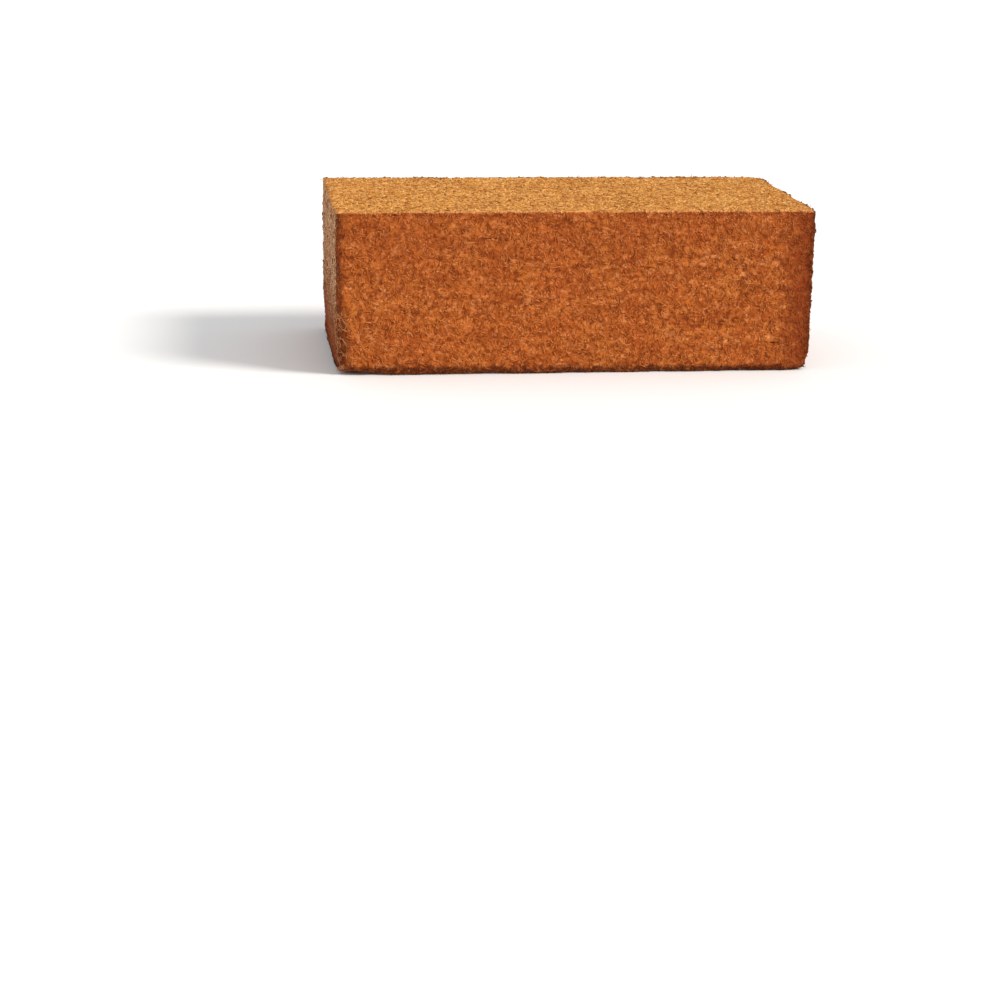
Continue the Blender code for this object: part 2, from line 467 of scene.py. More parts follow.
# %% Hairs
HAIRS = 900
HAIR_POINTS = 5
HAIR_THIN, HAIR_THICK = 0.05 * MM, 0.11 * MM
HAIR_LENGTHS_MM = (0.8, 2.6)
HAIR_ROOT = 0.3 * MM
HAIR_OUTWARDS, HAIR_ASTRAY = (0.1, 0.7), 0.3
HAIR_BEND, BEND_SPREAD = 0.16, 0.2
LIGHTEST_HAIR = 0.8
LOW_EDGES = 0.4
# How many leave an edge that runs along the length, the width and the height
EDGE_SHARES = [0.5, 0.28, 0.22]


def edge_place(rng):
    """A random place on an edge, more often a low one, the way out of it, and the edge's axis."""
    signs = Vector(rng.choice([-1.0, 1.0], size=3))
    if rng.random() < LOW_EDGES:
        signs.z = -1.0
    along = int(rng.choice(3, p=EDGE_SHARES))
    place = Vector(middle[i] + signs[i] * half[i] for i in range(3))
    place[along] = rng.uniform(low[along], high[along])
    out = signs.copy()
    out[along] = 0.0
    return place, out.normalized(), along


def hair_path(rng):
    """The points of one hair, which leaves an edge sideways and bends in the air."""
    place, out, along = edge_place(rng)
    found, normal, _, _ = skin_tree.find_nearest(place)
    run = Vector((0, 0, 0))
    run[along] = rng.choice([-1.0, 1.0])
    length = rng.uniform(*HAIR_LENGTHS_MM) * MM
    forward = run + out * rng.uniform(*HAIR_OUTWARDS) + Vector(rng.normal(0, HAIR_ASTRAY, 3))
    forward.normalize()
    bend = Vector(rng.normal(0, 1, 3)).normalized()
    path = [found - normal * HAIR_ROOT]
    for _ in range(HAIR_POINTS - 1):
        path.append(path[-1] + forward * length / (HAIR_POINTS - 1))
        forward = Matrix.Rotation(rng.normal(HAIR_BEND, BEND_SPREAD), 3, bend) @ forward
        inside = -min(0.0, (path[-1] - found).dot(out))
        path[-1] += out * inside
    for point in path:
        point.z = max(point.z, HAIR_THICK)
    return path


hair_rng = np.random.default_rng(71)
hair_paths = [hair_path(hair_rng) for _ in range(HAIRS)]
hairs = tubes(
    "loose_hairs",
    hair_paths,
    list(hair_rng.uniform(HAIR_THIN, HAIR_THICK, HAIRS)),
    list(hair_rng.uniform(0.0, LIGHTEST_HAIR, HAIRS)),
)
print(len(hairs.data.polygons), "faces of loose hair")

# %% [markdown]
# ## A frayed corner
#
# The lower left corner of the front wall has worn open: pale fibres hang there over a dark patch of
# painted shadow. They walk over the skin like the pressed fibres, but they slope down and stand further
# out. A tint above 1 marks them, so that the material gives them their own colour.

# %% Frayed fibres
FRAYED = 90
FRAYED_REACH, FRAYED_TOP = 5.5 * MM, 27 * MM
# Powers above 1 gather the fibres beside the upright edge and near the base
NEAR_THE_EDGE, NEAR_THE_BASE = 1.6, 1.3
FRAYED_ON_FRONT = 0.6
FRAYED_LENGTHS_MM, FRAYED_RISES_MM = (2.0, 5.5), (0.15, 0.5)
FRAYED_THIN_MM, FRAYED_THICK_MM = 0.10, 0.20
SLOPE_DEGREES, SLOPE_SPREAD = -62, 24
FRAYED_TINT = 1.5


def frayed_path(rng):
    """The points of one frayed fibre, beside the corner's upright edge, sloping down."""
    across = FRAYED_REACH * rng.random() ** NEAR_THE_EDGE
    on_front = rng.random() < FRAYED_ON_FRONT
    place = Vector((low.x, low.y, FRAYED_TOP * rng.random() ** NEAR_THE_BASE))
    place[0 if on_front else 1] += across
    found, normal, _, _ = skin_tree.find_nearest(place)
    length = rng.uniform(*FRAYED_LENGTHS_MM) * MM
    rise = rng.uniform(*FRAYED_RISES_MM) * MM
    heading = radians(rng.normal(SLOPE_DEGREES, SLOPE_SPREAD))
    return fibre_path(found, normal, rng, length, heading, CURL, rise)


frayed_rng = np.random.default_rng(33)
frayed_paths = [frayed_path(frayed_rng) for _ in range(FRAYED)]
frayed_radii = list(frayed_rng.uniform(FRAYED_THIN_MM, FRAYED_THICK_MM, FRAYED) * MM)
frayed = tubes("frayed_corner", frayed_paths, frayed_radii, [FRAYED_TINT] * FRAYED)
print(len(frayed.data.polygons), "faces of frayed fibre")

# %% [markdown]
# ## Crumbs of pith
#
# Broken grains cling to the walls and gather along the edges. Each is an octahedron, which is
# a sphere of four segments and two rings, stretched and turned by chance, and sunk in the skin.
# Thousands of them would be slow to make one by one, so one is modelled, and its corners are
# copied to all the places together, as one array.

# %% One crumb
CRUMB_SEGMENTS, CRUMB_RINGS = 4, 2


def one_crumb():
    """The corners and the faces of a crumb with a radius of 1."""
    bm = bmesh.new()
    bmesh.ops.create_uvsphere(bm, u_segments=CRUMB_SEGMENTS, v_segments=CRUMB_RINGS, radius=1.0)
    bmesh.ops.recalc_face_normals(bm, faces=bm.faces)
    bm.verts.index_update()
    corners = np.array([vert.co for vert in bm.verts])
    faces = np.array([[vert.index for vert in face.verts] for face in bm.faces])
    bm.free()
    return corners, faces


CRUMB_CORNERS, CRUMB_FACES = one_crumb()
print("A crumb has", len(CRUMB_CORNERS), "corners and", len(CRUMB_FACES), "faces")

# %% Where crumbs lie
CRUMBS = {"front": 4600, "top": 6500, "back": 3200, "left": 1500, "right": 1500, "base": 1200}
CRUMBS_ON_EDGES = 3400
EDGE_SCATTER = 0.8 * MM
TOP_CRUMBS_LARGER, EDGE_CRUMBS_SMALLER = 1.15, 0.75


def crumb_places(rng):
    """Places for the crumbs: spread over each side, and gathered along the edges."""
    found, larger = [], []
    for side, count in CRUMBS.items():
        found += places_on(side, count, rng)
        larger += [TOP_CRUMBS_LARGER if side == "top" else 1.0] * count
    for _ in range(CRUMBS_ON_EDGES):
        place, _, _ = edge_place(rng)
        scattered = place + Vector(rng.normal(0, EDGE_SCATTER, 3))
        found.append(skin_tree.find_nearest(scattered)[:2])
        larger.append(EDGE_CRUMBS_SMALLER)
    places, normals = (np.array(part) for part in zip(*found))
    return places, normals, np.array(larger)


crumb_rng = np.random.default_rng(12)
crumb_spots = crumb_places(crumb_rng)
print(len(crumb_spots[0]), "places for crumbs")

# %% [markdown]
# Each crumb gets a cell of the map, and its eight faces lie in that cell in four columns and
# two rows, so that no two faces share a place.

# %% The crumbs' map
FACE_COLUMNS, FACE_ROWS = 4, 2
FACE_ON_MAP = np.array(((0.1, 0.1), (0.9, 0.1), (0.1, 0.9)))
CRUMB_MARGIN = 0.05


def crumb_map(count):
    """The map places of every face corner, crumb by crumb."""
    cells = int(np.ceil(np.sqrt(count)))
    faces, each = np.arange(len(CRUMB_FACES)), np.arange(count)
    column, row = faces % FACE_COLUMNS, faces // FACE_COLUMNS
    inside = (np.stack((column, row), 1)[:, None, :] + FACE_ON_MAP) / (FACE_COLUMNS, FACE_ROWS)
    corner = np.stack((each % cells, each // cells), 1)[:, None, None, :]
    return (corner + CRUMB_MARGIN + (1 - 2 * CRUMB_MARGIN) * inside) / cells


print("The map of three crumbs has", crumb_map(3).size // 2, "face corners")

# %% Crumbs
CRUMB_SMALL, CRUMB_BIG = 0.35 * MM, 0.95 * MM
STRETCH_LEAST, STRETCH_MOST = 0.55, 1.3
CRUMB_SUNK = 0.35
LOWEST_CRUMB = -0.05 * MM


def crumbs(rng, places, normals, larger):
    """Copies one octahedron to every place, each stretched and turned by chance."""
    count = len(places)
    radii = rng.uniform(CRUMB_SMALL, CRUMB_BIG, count) * larger
    places = places - CRUMB_SUNK * radii[:, None] * normals
    sizes = rng.uniform(STRETCH_LEAST, STRETCH_MOST, (count, 1, 3)) * radii[:, None, None]
    turns, _ = np.linalg.qr(rng.normal(0, 1, (count, 3, 3)))
    turns *= np.sign(np.linalg.det(turns))[:, None, None]
    points = (CRUMB_CORNERS * sizes) @ turns + places[:, None, :]
    points[..., 2] = np.maximum(points[..., 2], LOWEST_CRUMB)
    faces = CRUMB_FACES + len(CRUMB_CORNERS) * np.arange(count)[:, None, None]
    mesh = bpy.data.meshes.new("pith_crumbs")
    mesh.from_pydata(points.reshape(-1, 3), [], faces.reshape(-1, 3))
    tint = mesh.attributes.new("tint", "FLOAT", "POINT")
    tint.data.foreach_set("value", np.repeat(rng.random(count), len(CRUMB_CORNERS)))
    mesh.uv_layers.new(name="OFBake").uv.foreach_set("vector", crumb_map(count).ravel())
    whole = bmesh.new()
    whole.from_mesh(mesh)
    bpy.data.meshes.remove(mesh)
    return piece_from(whole, "pith_crumbs")


crumb_piece = crumbs(crumb_rng, *crumb_spots)
print(len(crumb_piece.data.polygons), "faces of crumbs")

# %% [markdown]
# ## Helpers for shader nodes
#
# A shader node takes several lines to add, set and link, and the patterns below need dozens of
# them. So a few helpers come first: one adds any node, and the others add a sum, a product, a
# smooth step, a noise or a mix of two colours.

# %% Helpers for nodes


def node(tree, kind, inputs=None, **settings):
    """Adds a node, sets its properties, and fills or links its inputs by name or number."""
    made = tree.nodes.new(kind)
    for name, value in settings.items():
        setattr(made, name, value)
    for name, value in (inputs or {}).items():
        if isinstance(value, bpy.types.NodeSocket):
            tree.links.new(value, made.inputs[name])
        else:
            made.inputs[name].default_value = value
    return made


def math(tree, operation, first, second, clamp=False):
    """Calculates with two values, each of them a number or another node's output."""
    made = node(tree, "ShaderNodeMath", {0: first, 1: second}, operation=operation, use_clamp=clamp)
    return made.outputs[0]


def plus(tree, first, second):
    return math(tree, "ADD", first, second)


def minus(tree, first, second, clamp=False):
    return math(tree, "SUBTRACT", first, second, clamp)


def times(tree, first, second):
    return math(tree, "MULTIPLY", first, second)


def lesser(tree, first, second):
    return math(tree, "MINIMUM", first, second)


def greater(tree, first, second):
    return math(tree, "MAXIMUM", first, second)


def span(tree, value, start, end):
    """0 where the value hasn't reached start, 1 where it has passed end, smooth between."""
    inputs = {"Value": value, "From Min": start, "From Max": end}
    made = node(tree, "ShaderNodeMapRange", inputs, interpolation_type="SMOOTHSTEP")
    return made.outputs[0]


def noise_at(tree, place, scale, detail, roughness=0.5, distortion=0.0):
    """A soft random value around a half for each place, finer with a larger scale."""
    inputs = {
        "Vector": place,
        "Scale": scale,
        "Detail": detail,
        "Roughness": roughness,
        "Distortion": distortion,
    }
    return node(tree, "ShaderNodeTexNoise", inputs).outputs[0]


def stretched(tree, place, scale):
    """A place scaled along each axis, which stretches the pattern that reads it."""
    return node(tree, "ShaderNodeMapping", {"Vector": place, "Scale": scale}).outputs[0]


def mix(tree, share, first, second):
    """Mixes two colours, and returns the mixed one."""
    return node(tree, "ShaderNodeMix", {0: share, 6: first, 7: second}, data_type="RGBA").outputs[2]


# %% Helpers for node groups
VALUE, VECTOR = "NodeSocketFloat", "NodeSocketVector"


def new_group(name, inputs):
    """Starts a node group, and returns it with its inputs, to read from."""
    tree = bpy.data.node_groups.new(name, "ShaderNodeTree")
    for label, kind in inputs.items():
        tree.interface.new_socket(label, in_out="INPUT", socket_type=kind)
    return tree, tree.nodes.new("NodeGroupInput").outputs


def close_group(tree, results):
    """Gives a node group one output for each result."""
    for label in results:
        tree.interface.new_socket(label, in_out="OUTPUT", socket_type=VALUE)
    out = tree.nodes.new("NodeGroupOutput")
    for label, result in results.items():
        tree.links.new(result, out.inputs[label])
    print("The group", tree.name, "has", len(tree.nodes), "nodes and gives", list(results))
    return tree


# %% [markdown]
# ## A shared pattern: pith grain
#
# Skin, fibres and crumbs all carry the same fine mottling, so it is one shader node group that each
# material holds with its own grain size. It gives a tone, a mask of pale flecks, a mask of the gaps
# between the grains where the materials paint shade, and a height for the bump. All of it reads Object
# coordinates, in metres. The coarse tone and the flecks are stretched sideways, because the press
# flattened the clumps.

# %% The pith grain group
MM_PER_METRE = 1000.0
FLATTENED = (0.5, 0.5, 1.35)
COARSE_GRAIN, FLECK_GRAIN = 0.22, 0.62
COARSE_SHARE, FINE_SHARE = 0.45, 0.55
GAP_DEPTH = 0.45


def pith_grain_group():
    tree, given = new_group("pith_grain", {"Vector": VECTOR, "Grain Size mm": VALUE})
    place = given["Vector"]
    flat_place = stretched(tree, place, FLATTENED)
    scale = math(tree, "DIVIDE", MM_PER_METRE, given["Grain Size mm"])
    coarse = noise_at(tree, flat_place, times(tree, scale, COARSE_GRAIN), 3.0)
    fine = noise_at(tree, place, scale, 3.0, roughness=0.62)
    flecks = noise_at(tree, flat_place, times(tree, scale, FLECK_GRAIN), 1.0, distortion=1.2)
    grains = node(
        tree, "ShaderNodeTexVoronoi", {"Vector": place, "Scale": scale, "Randomness": 1.0}, feature="F1"
    )
    tone = plus(tree, times(tree, coarse, COARSE_SHARE), times(tree, fine, FINE_SHARE))
    between_grains = span(tree, grains.outputs["Distance"], 0.40, 0.80)
    # Painted shade: the gaps between the grains, which the bump also sinks
    shaded_gaps = times(tree, between_grains, span(tree, fine, 0.60, 0.42))
    results = {
        "Tone": span(tree, tone, 0.30, 0.70),
        "Flecks": span(tree, flecks, 0.60, 0.72),
        "Shaded Gaps": shaded_gaps,
        "Height": minus(tree, tone, times(tree, shaded_gaps, GAP_DEPTH)),
    }
    return close_group(tree, results)


pith_grain = pith_grain_group()

# %% [markdown]
# ## A shared pattern: where on the block
#
# The block isn't one colour. Its top is golden with pale dust and fibre ends, a painted highlight runs
# along the top's front edge, its left end lies in shade and is painted grey for the cool skylight there,
# its ends are redder, its upright edges are darker, a painted shadow lies at the lower left corner, and
# a dark band of crumbs and painted shadow runs along the base. A second group turns a point's place into
# one mask for each of these, from 0 to 1, and each material lays its colours on by them.
#
# Most masks are smooth steps along a distance, and these distances are made first. A noise, the
# sway, is added to most of them, so that their borders are not straight lines.

# %% Distances on the block
RAGGED_SCALE, SPECKLE_SCALE = 300.0, 750.0
SWAY, SMALL_SWAY = 26 * MM, 0.22


def distances_on_block(tree, place, normal):
    """What the masks read: distances from the walls, where the face looks, and two noises."""
    x, y, z = node(tree, "ShaderNodeSeparateXYZ", {0: place}).outputs
    looks = node(tree, "ShaderNodeSeparateXYZ", {0: normal}).outputs
    ragged = noise_at(tree, place, RAGGED_SCALE, 3.0)
    sway = times(tree, minus(tree, ragged, 0.5), SWAY)
    return {
        "place": place,
        "x": x,
        "z": z,
        "from_right": minus(tree, high.x, x),
        "from_left": minus(tree, x, low.x),
        "from_front": minus(tree, y, low.y),
        "from_back": minus(tree, high.y, y),
        "from_top": minus(tree, high.z, z),
        "looks_along_x": looks[0],
        "looks_up": looks[2],
        "ragged": ragged,
        "speckle": noise_at(tree, place, SPECKLE_SCALE, 2.0),
        "sway": sway,
        "small_sway": times(tree, sway, SMALL_SWAY),
    }


print("Walls from", [round(c / MM, 1) for c in low], "to", [round(c / MM, 1) for c in high], "mm")

# %% [markdown]
# The top's mask needs a face that looks up at the full height, so that ledges lower down stay brown. The
# front lip is the strip of the top along its front edge, where a pale highlight is painted for the light
# that the fibre ends catch. The left end lies in shade, and the grey painted there for its cool skylight
# thins out downwards and is mottled.

# %% Masks of the top and of the shaded left end
SHADE_MOTTLE = 0.45


def top_mask(tree, at):
    looks_up = span(tree, at["looks_up"], 0.35, 0.80)
    return times(tree, looks_up, span(tree, at["z"], high.z - 3 * MM, high.z - 1 * MM))


# Painted highlight: a pale strip along the top's front edge
def front_lip_highlight_mask(tree, at):
    return span(tree, plus(tree, at["from_front"], at["small_sway"]), 2.6 * MM, 0.6 * MM)


# Painted shade: the shaded left end is painted a cool grey, thinning downwards
def left_end_shade_mask(tree, at):
    looks_left = span(tree, at["looks_along_x"], -0.40, -0.80)
    at_the_end = span(tree, at["from_left"], 4 * MM, 2 * MM)
    upwards = span(tree, plus(tree, at["z"], at["sway"]), 0, 50 * MM)
    mottle = times(tree, span(tree, at["ragged"], 0.38, 0.60), SHADE_MOTTLE)
    shade_grey = times(tree, times(tree, looks_left, at_the_end), upwards)
    return times(tree, shade_grey, plus(tree, mottle, 1 - SHADE_MOTTLE))


# %% [markdown]
# The upright edges are darkest. Dark grains also lie just below the top edge, and a patch of painted
# shadow lies at the frayed corner. The top's own rim is darker at the back and at the right. Along the
# base lies a dark band, partly crumbs and partly painted shadow of the crevice beneath, which is a
# little higher to the left, and the underside keeps more of its own colour.

# %% Masks of the darker edges and the painted shadows
BASE_TILT = 0.008
UNDERSIDE_SPARED = 0.75
SPECKLES_LEFT = 0.25
RIGHT_RIM_NARROWER = 1.7


def edge_speckle_share(tree, at):
    """The darker edges and the base band are broken up by the speckle: 1 on most grains, 0 on a few."""
    return span(tree, at["speckle"], 0.25, 0.58)


# Darker upright edges, dark grains below the top edge, and a painted shadow at the frayed corner
def rim_mask(tree, at):
    from_end = lesser(tree, at["from_right"], at["from_left"])
    from_long_wall = lesser(tree, at["from_front"], at["from_back"])
    from_upright = plus(tree, greater(tree, from_end, from_long_wall), at["small_sway"])
    below_top = times(tree, span(tree, at["from_top"], 3.4 * MM, 0.6 * MM),
                      span(tree, at["speckle"], 0.56, 0.66))
    rim = greater(tree, span(tree, from_upright, 4.4 * MM, 1.4 * MM), below_top)
    rim = times(tree, rim, edge_speckle_share(tree, at))
    # Painted shadow: a dark patch at the lower left corner of the front wall
    from_corner = plus(tree, greater(tree, at["from_left"], at["from_front"]), at["small_sway"])
    frayed_corner_shadow = times(tree, span(tree, from_corner, 7.5 * MM, 3 * MM),
                         span(tree, at["z"], 32 * MM, 20 * MM))
    return greater(tree, rim, frayed_corner_shadow)


def top_rim_mask(tree, at):
    from_right = times(tree, at["from_right"], RIGHT_RIM_NARROWER)
    from_rim = greater(tree, lesser(tree, from_right, at["from_back"]), at["from_top"])
    return span(tree, plus(tree, from_rim, at["small_sway"]), 3.6 * MM, 1.4 * MM)


# Partly crumbs and partly painted shadow of the crevice under the base, a little higher to the left
def base_crumbs_and_shadow_mask(tree, at):
    height = plus(tree, plus(tree, at["z"], at["small_sway"]), times(tree, at["x"], BASE_TILT))
    underneath = times(tree, span(tree, at["looks_up"], -0.6, -0.9), UNDERSIDE_SPARED)
    band = minus(tree, span(tree, height, 4.2 * MM, 2.0 * MM), underneath, clamp=True)
    speckled = math(tree, "ADD", edge_speckle_share(tree, at), SPECKLES_LEFT, clamp=True)
    return times(tree, band, speckled)


# %% [markdown]
# The walls vary inside their borders, too. Both ends and, faintly, the upper half are redder,
# and so is a small knot of the front wall. Broad blotches are yellower, and so is a patch of
# pale fibre near the knot. The layers of the press show as thin level streaks, and dark and
# pale clumps come from the same noise, one from its low values and one from its high ones.

# %% Masks of the walls' own colours
DARK_KNOT = (0.0390, -0.0504, 0.0506)
PALE_PATCH = (0.0443, -0.0504, 0.0440)
UPPER_REDNESS = 0.17
LEFT_END_NARROWER = 3.2
BLOTCH_SCALE, CLUMP_SCALE = 55.0, 380.0
LAYER_SCALES = (150.0, 150.0, 430.0)


def spot(tree, at, centre, near, far):
    """1 within a distance of a point of the block, 0 beyond a larger one, with a ragged edge."""
    apart = node(tree, "ShaderNodeVectorMath", {0: at["place"], 1: centre}, operation="DISTANCE")
    return span(tree, plus(tree, apart.outputs["Value"], at["small_sway"]), far, near)


def redder_mask(tree, at):
    from_right = plus(tree, at["from_right"], at["sway"])
    from_left = plus(tree, times(tree, at["from_left"], LEFT_END_NARROWER), at["sway"])
    ends = span(tree, lesser(tree, from_right, from_left), 19 * MM, 3 * MM)
    upper_half = times(tree, span(tree, at["z"], 34 * MM, 58 * MM), UPPER_REDNESS)
    knot = spot(tree, at, DARK_KNOT, 1 * MM, 2.6 * MM)
    return greater(tree, greater(tree, ends, upper_half), knot)


def blotches_mask(tree, at):
    broad = noise_at(tree, at["place"], BLOTCH_SCALE, 2.0)
    return greater(tree, span(tree, broad, 0.36, 0.64), spot(tree, at, PALE_PATCH, 3 * MM, 7 * MM))


def layers_mask(tree, at):
    streaks = noise_at(tree, stretched(tree, at["place"], LAYER_SCALES), 1.0, 1.5)
    return span(tree, streaks, 0.44, 0.62)


# %% The wear and painted light group
def block_wear_and_light_group():
    tree, given = new_group("block_wear_and_light", {"Position": VECTOR, "Normal": VECTOR})
    at = distances_on_block(tree, given["Position"], given["Normal"])
    clumps = noise_at(tree, at["place"], CLUMP_SCALE, 1.0)
    results = {
        "Top": top_mask(tree, at),
        "Front Lip Highlight": front_lip_highlight_mask(tree, at),
        "Left End Shade": left_end_shade_mask(tree, at),
        "Rim": rim_mask(tree, at),
        "Top Rim": top_rim_mask(tree, at),
        "Base Crumbs And Shadow": base_crumbs_and_shadow_mask(tree, at),
        "Redder Ends": redder_mask(tree, at),
        "Blotches": blotches_mask(tree, at),
        "Layers": layers_mask(tree, at),
        "Dark Clumps": span(tree, clumps, 0.42, 0.32),
        "Pale Clumps": span(tree, clumps, 0.58, 0.68),
    }
    return close_group(tree, results)


block_wear_and_light = block_wear_and_light_group()

# %% [markdown]
# ## Colours
#
# All colours are shades of the same dried husk, from nearly black crumbs to pale, dusty fibre.
# Blender takes them as linear values, which are lower numbers than those of a colour card.

# %% The colours of coir
PAINTED_SHADE_BROWN = (0.150, 0.028, 0.005, 1)
RUST = (0.320, 0.062, 0.010, 1)
ORANGE_BROWN = (0.545, 0.147, 0.028, 1)
YELLOWER_BROWN = (0.580, 0.174, 0.032, 1)
PALE_FLECK = (0.720, 0.270, 0.095, 1)
GOLD_SHADE = (0.385, 0.128, 0.018, 1)
GOLD = (0.690, 0.322, 0.073, 1)
GOLD_FLECK = (0.860, 0.480, 0.170, 1)
# Painted shade: the cool grey of the left end in shade
LEFT_SHADE_GREY = (0.760, 0.490, 0.270, 1)
# Partly crumbs and partly painted shadow along the base
CRUMB_AND_SHADOW_DARK = (0.060, 0.011, 0.006, 1)
EDGE_RED = (0.235, 0.038, 0.008, 1)
# The brown of the darker edges and of the painted shadow at the frayed corner
EDGE_AND_SHADOW_BROWN = (0.095, 0.021, 0.004, 1)
TOP_SPECK = (0.330, 0.105, 0.016, 1)
CRUMB_BROWN = (0.215, 0.042, 0.007, 1)
# Painted highlight along the top's front edge
LIP_HIGHLIGHT = (0.760, 0.300, 0.110, 1)
FRAYED_PALE = (0.480, 0.190, 0.080, 1)
print("Gold is", round(GOLD[0] / RUST[0], 1), "times as bright in red as rust")

# %% [markdown]
# Each coat of colour has a mask of the wear and painted light group, a strength and a paint. Some coats
# are painted shade or a painted highlight. The walls and the top get their own coats, then the top's
# mask joins the two, and the last coats go over both.

# %% Coats of colour
WALL_COATS = (
    ("Layers", 0.42, RUST),
    ("Dark Clumps", 0.55, CRUMB_BROWN),
    ("Pale Clumps", 0.45, PALE_FLECK),
    ("Redder Ends", 0.80, EDGE_RED),
    ("Rim", 0.80, EDGE_AND_SHADOW_BROWN),
    ("Left End Shade", 0.95, LEFT_SHADE_GREY),
)
TOP_COATS = (
    ("Layers", 0.30, GOLD_SHADE),
    ("Dark Clumps", 0.45, TOP_SPECK),
    ("Pale Clumps", 0.45, GOLD_FLECK),
    ("Front Lip Highlight", 0.55, LIP_HIGHLIGHT),
)
LAST_COATS = (("Top Rim", 0.80, EDGE_AND_SHADOW_BROWN), ("Base Crumbs And Shadow", 0.85, CRUMB_AND_SHADOW_DARK))


def coated(tree, colour, coats, wear_and_light):
    """Lays coats of colour over one another, each by its mask and its strength."""
    for mask, strength, paint in coats:
        colour = mix(tree, times(tree, wear_and_light[mask], strength), colour, paint)
    return colour


def block_colour(tree, wall, top, on_top, wear_and_light):
    """Joins the colours of the walls and of the top, with all their coats."""
    wall = coated(tree, wall, WALL_COATS, wear_and_light)
    top = coated(tree, top, TOP_COATS, wear_and_light)
    return coated(tree, mix(tree, on_top, wall, top), LAST_COATS, wear_and_light)


print(len(WALL_COATS) + len(TOP_COATS) + len(LAST_COATS), "coats of colour")

# %% [markdown]
# A material starts with the shader's fixed values. It then places both groups, on coordinates
# that belong to the object, so that the pattern stays where it is from every view.

# %% Helpers for materials


def new_material(name, roughness, specular):
    """Makes a material with one shader, and sets the values that are the same all over."""
    material = bpy.data.materials.new(name)
    material.use_nodes = True
    shader = material.node_tree.nodes["Principled BSDF"]
    shader.inputs["Roughness"].default_value = roughness
    shader.inputs["Specular IOR Level"].default_value = specular
    return material, material.node_tree, shader


def place_group(tree, group, values):
    """Places a node group in a material, and returns its outputs."""
    return node(tree, "ShaderNodeGroup", values, node_tree=group).outputs


def shared_patterns(tree, grain_size):
    """Places both groups in a material, and returns the point's place and their outputs."""
    coordinates = node(tree, "ShaderNodeTexCoord").outputs
    place, normal = coordinates["Object"], coordinates["Normal"]
    grain = place_group(tree, pith_grain, {"Vector": place, "Grain Size mm": grain_size})
    wear_and_light = place_group(tree, block_wear_and_light, {"Position": place, "Normal": normal})
    return place, grain, wear_and_light


def attribute(tree, name):
    """A value that is stored on the vertices of the piece."""
    return node(tree, "ShaderNodeAttribute", attribute_name=name).outputs["Fac"]


# %% [markdown]
# ## The skin's material
#
# From the bottom up: a rust-brown mottle, pale flecks of fibre, the coats of the wear and painted light
# group, painted shade in the gaps between the grains, and painted shade in the hollows and cracks. The
# relief below a millimetre is a bump.

# %% Pressed pith
SKIN_GRAIN = 1.9
SKIN_ROUGH, DULL = 0.93, 0.08
TOP_FLECKS, GAP_SHADE_DARK, HOLLOW_SHADE_DARK = 0.6, 0.7, 0.6
BUMP_STRENGTH, BUMP_HEIGHT = 0.8, 0.5 * MM


def pressed_pith_material():
    material, tree, shader = new_material("pressed_pith", SKIN_ROUGH, DULL)
    _, grain, wear_and_light = shared_patterns(tree, SKIN_GRAIN)
    orange = mix(tree, wear_and_light["Blotches"], ORANGE_BROWN, YELLOWER_BROWN)
    wall = mix(tree, grain["Tone"], RUST, orange)
    more_on_blotches = span(tree, wear_and_light["Blotches"], -0.5, 1.2)
    wall = mix(tree, times(tree, grain["Flecks"], more_on_blotches), wall, PALE_FLECK)
    top = mix(tree, grain["Tone"], GOLD_SHADE, GOLD)
    top = mix(tree, times(tree, grain["Flecks"], TOP_FLECKS), top, GOLD_FLECK)
    colour = block_colour(tree, wall, top, wear_and_light["Top"], wear_and_light)
    # Painted shade in the gaps between the grains
    colour = mix(tree, times(tree, grain["Shaded Gaps"], GAP_SHADE_DARK), colour, PAINTED_SHADE_BROWN)
    # Painted shade in the hollows and cracks
    painted_hollow_shade = times(tree, attribute(tree, "hollow_shade"), HOLLOW_SHADE_DARK)
    colour = mix(tree, painted_hollow_shade, colour, PAINTED_SHADE_BROWN)
    tree.links.new(colour, shader.inputs["Base Color"])
    relief_bump = {"Height": grain["Height"], "Strength": BUMP_STRENGTH, "Distance": BUMP_HEIGHT}
    tree.links.new(node(tree, "ShaderNodeBump", relief_bump).outputs[0], shader.inputs["Normal"])
    return material


skin.data.materials.append(pressed_pith_material())
print("The skin is finished with", skin.data.materials[0].name)

# %% [markdown]
# ## The fibres' material
#
# Every fibre holds a random tint on its vertices. The tint picks a tone from rust over orange
# brown to pale tan, or from shaded to pale gold on the top. Fibres and crumbs are round, so the
# way that they face says nothing about the side they lie on, and they go by their height
# instead. The frayed fibres have a tint above 1 and get a colour of their own.

# %% Fibre and hair
FIBRE_GRAIN = 0.6
FIBRE_ROUGH, FIBRE_SPECULAR = 0.80, 0.12
WALL_FIBRES_PALE, FIBRE_GAP_SHADE_DARK = 0.4, 0.5


def lies_on_top(tree, place):
    """1 for what lies at the block's full height, 0 below it."""
    height = node(tree, "ShaderNodeSeparateXYZ", {0: place}).outputs[2]
    return span(tree, height, high.z - 0.9 * MM, high.z - 0.3 * MM)


